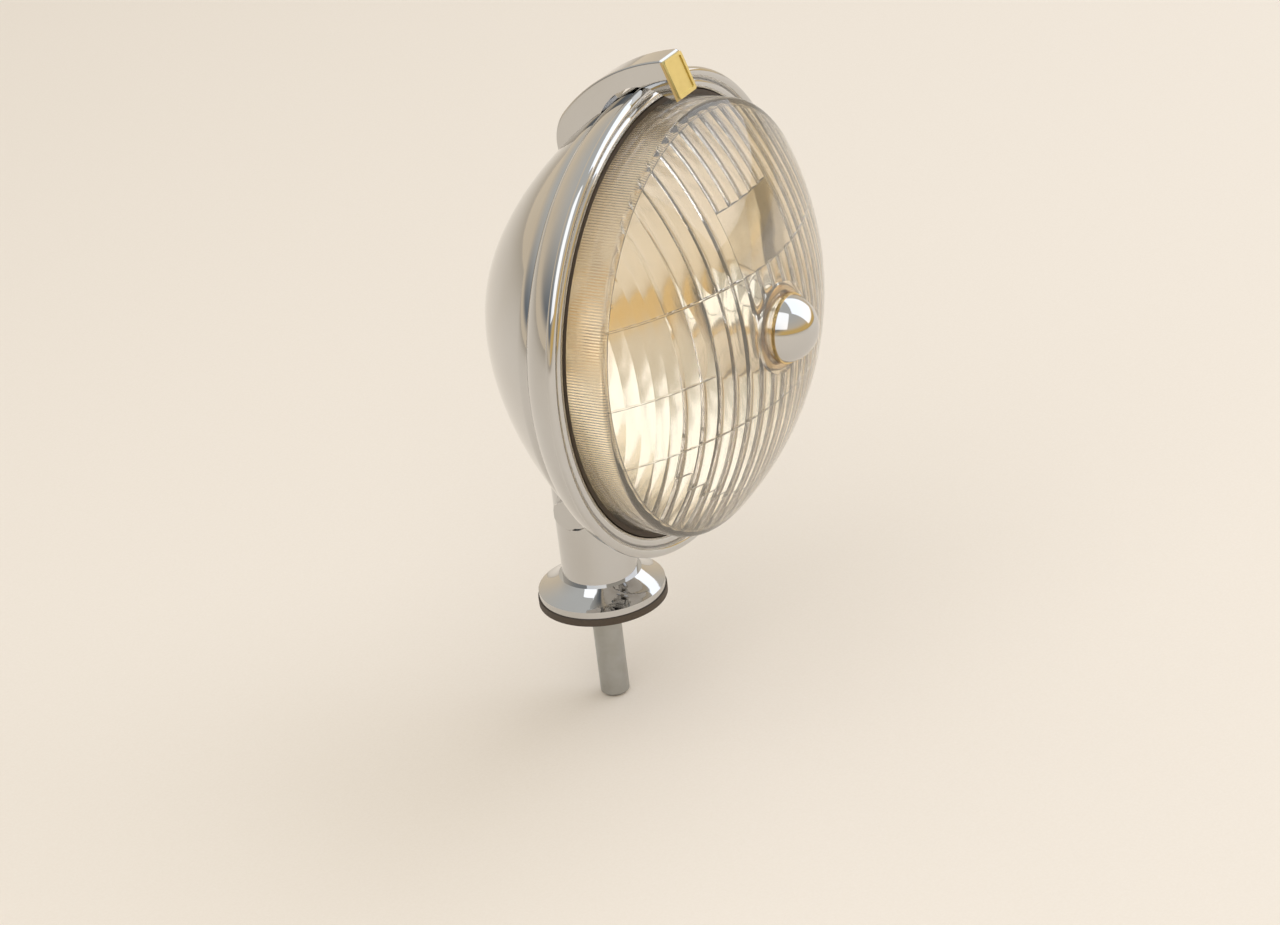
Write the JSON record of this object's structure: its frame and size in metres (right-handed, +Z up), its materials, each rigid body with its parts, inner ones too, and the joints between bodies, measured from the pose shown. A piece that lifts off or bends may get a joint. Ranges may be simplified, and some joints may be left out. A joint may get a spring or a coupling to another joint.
{
  "type": "auxiliary driving lamp",
  "caption": "Round chromed driving lamp with a domed fluted glass, centre bullet and top clip, which turns and tilts on a short post with a mounting stud.",
  "frame": {"origin": "on the mounting face under the foot's pad, at the mounting stud's axis", "axes": "+Z up along the stud, -Y along the beam at rest, X along the tilt bolt"},
  "size_m": [0.19, 0.1368, 0.2833],
  "materials": {
    "chromed_brass": "polished chrome plate on spun and cast brass",
    "pressed_glass": "clear pressed glass, smooth outside and fluted inside",
    "silvered_reflector": "silvered and lacquered",
    "polished_brass": "polished",
    "gilt_brass": "gilt, blank",
    "bulb_glass": "clear bulb glass",
    "black_rubber": "moulded, matt",
    "plated_steel": "zinc plated"
  },
  "bodies": {
    "foot": {"foot": "chromed_brass", "foot_pad": "black_rubber", "mounting_stud": "plated_steel"},
    "post": {"post": "chromed_brass", "tilt_bolt": "chromed_brass", "tilt_nut": "chromed_brass", "tilt_washers": "chromed_brass"},
    "lamp": {"shell": "chromed_brass", "rim": "chromed_brass", "centre_bullet": "chromed_brass", "top_clip": "chromed_brass", "saddle": "chromed_brass", "cable_grommet": "black_rubber", "rim_seal": "black_rubber", "fluted_glass": "pressed_glass", "reflector": "silvered_reflector", "bulb_shield": "silvered_reflector", "shield_ring": "polished_brass", "bullet_collar": "polished_brass", "bulb_holder": "polished_brass", "bulb": "bulb_glass", "clip_badge": "gilt_brass"}
  },
  "joints": [
    {"name": "aim_turn", "type": "hinge", "parent": "foot", "child": "post", "pos_m": [0, 0, 0.012], "axis": [0, 0, 1], "range_deg": [-90, 90]},
    {"name": "aim_tilt", "type": "hinge", "parent": "post", "child": "lamp", "pos_m": [0, 0, 0.046], "axis": [1, 0, 0], "range_deg": [-12, 12]}
  ]
}
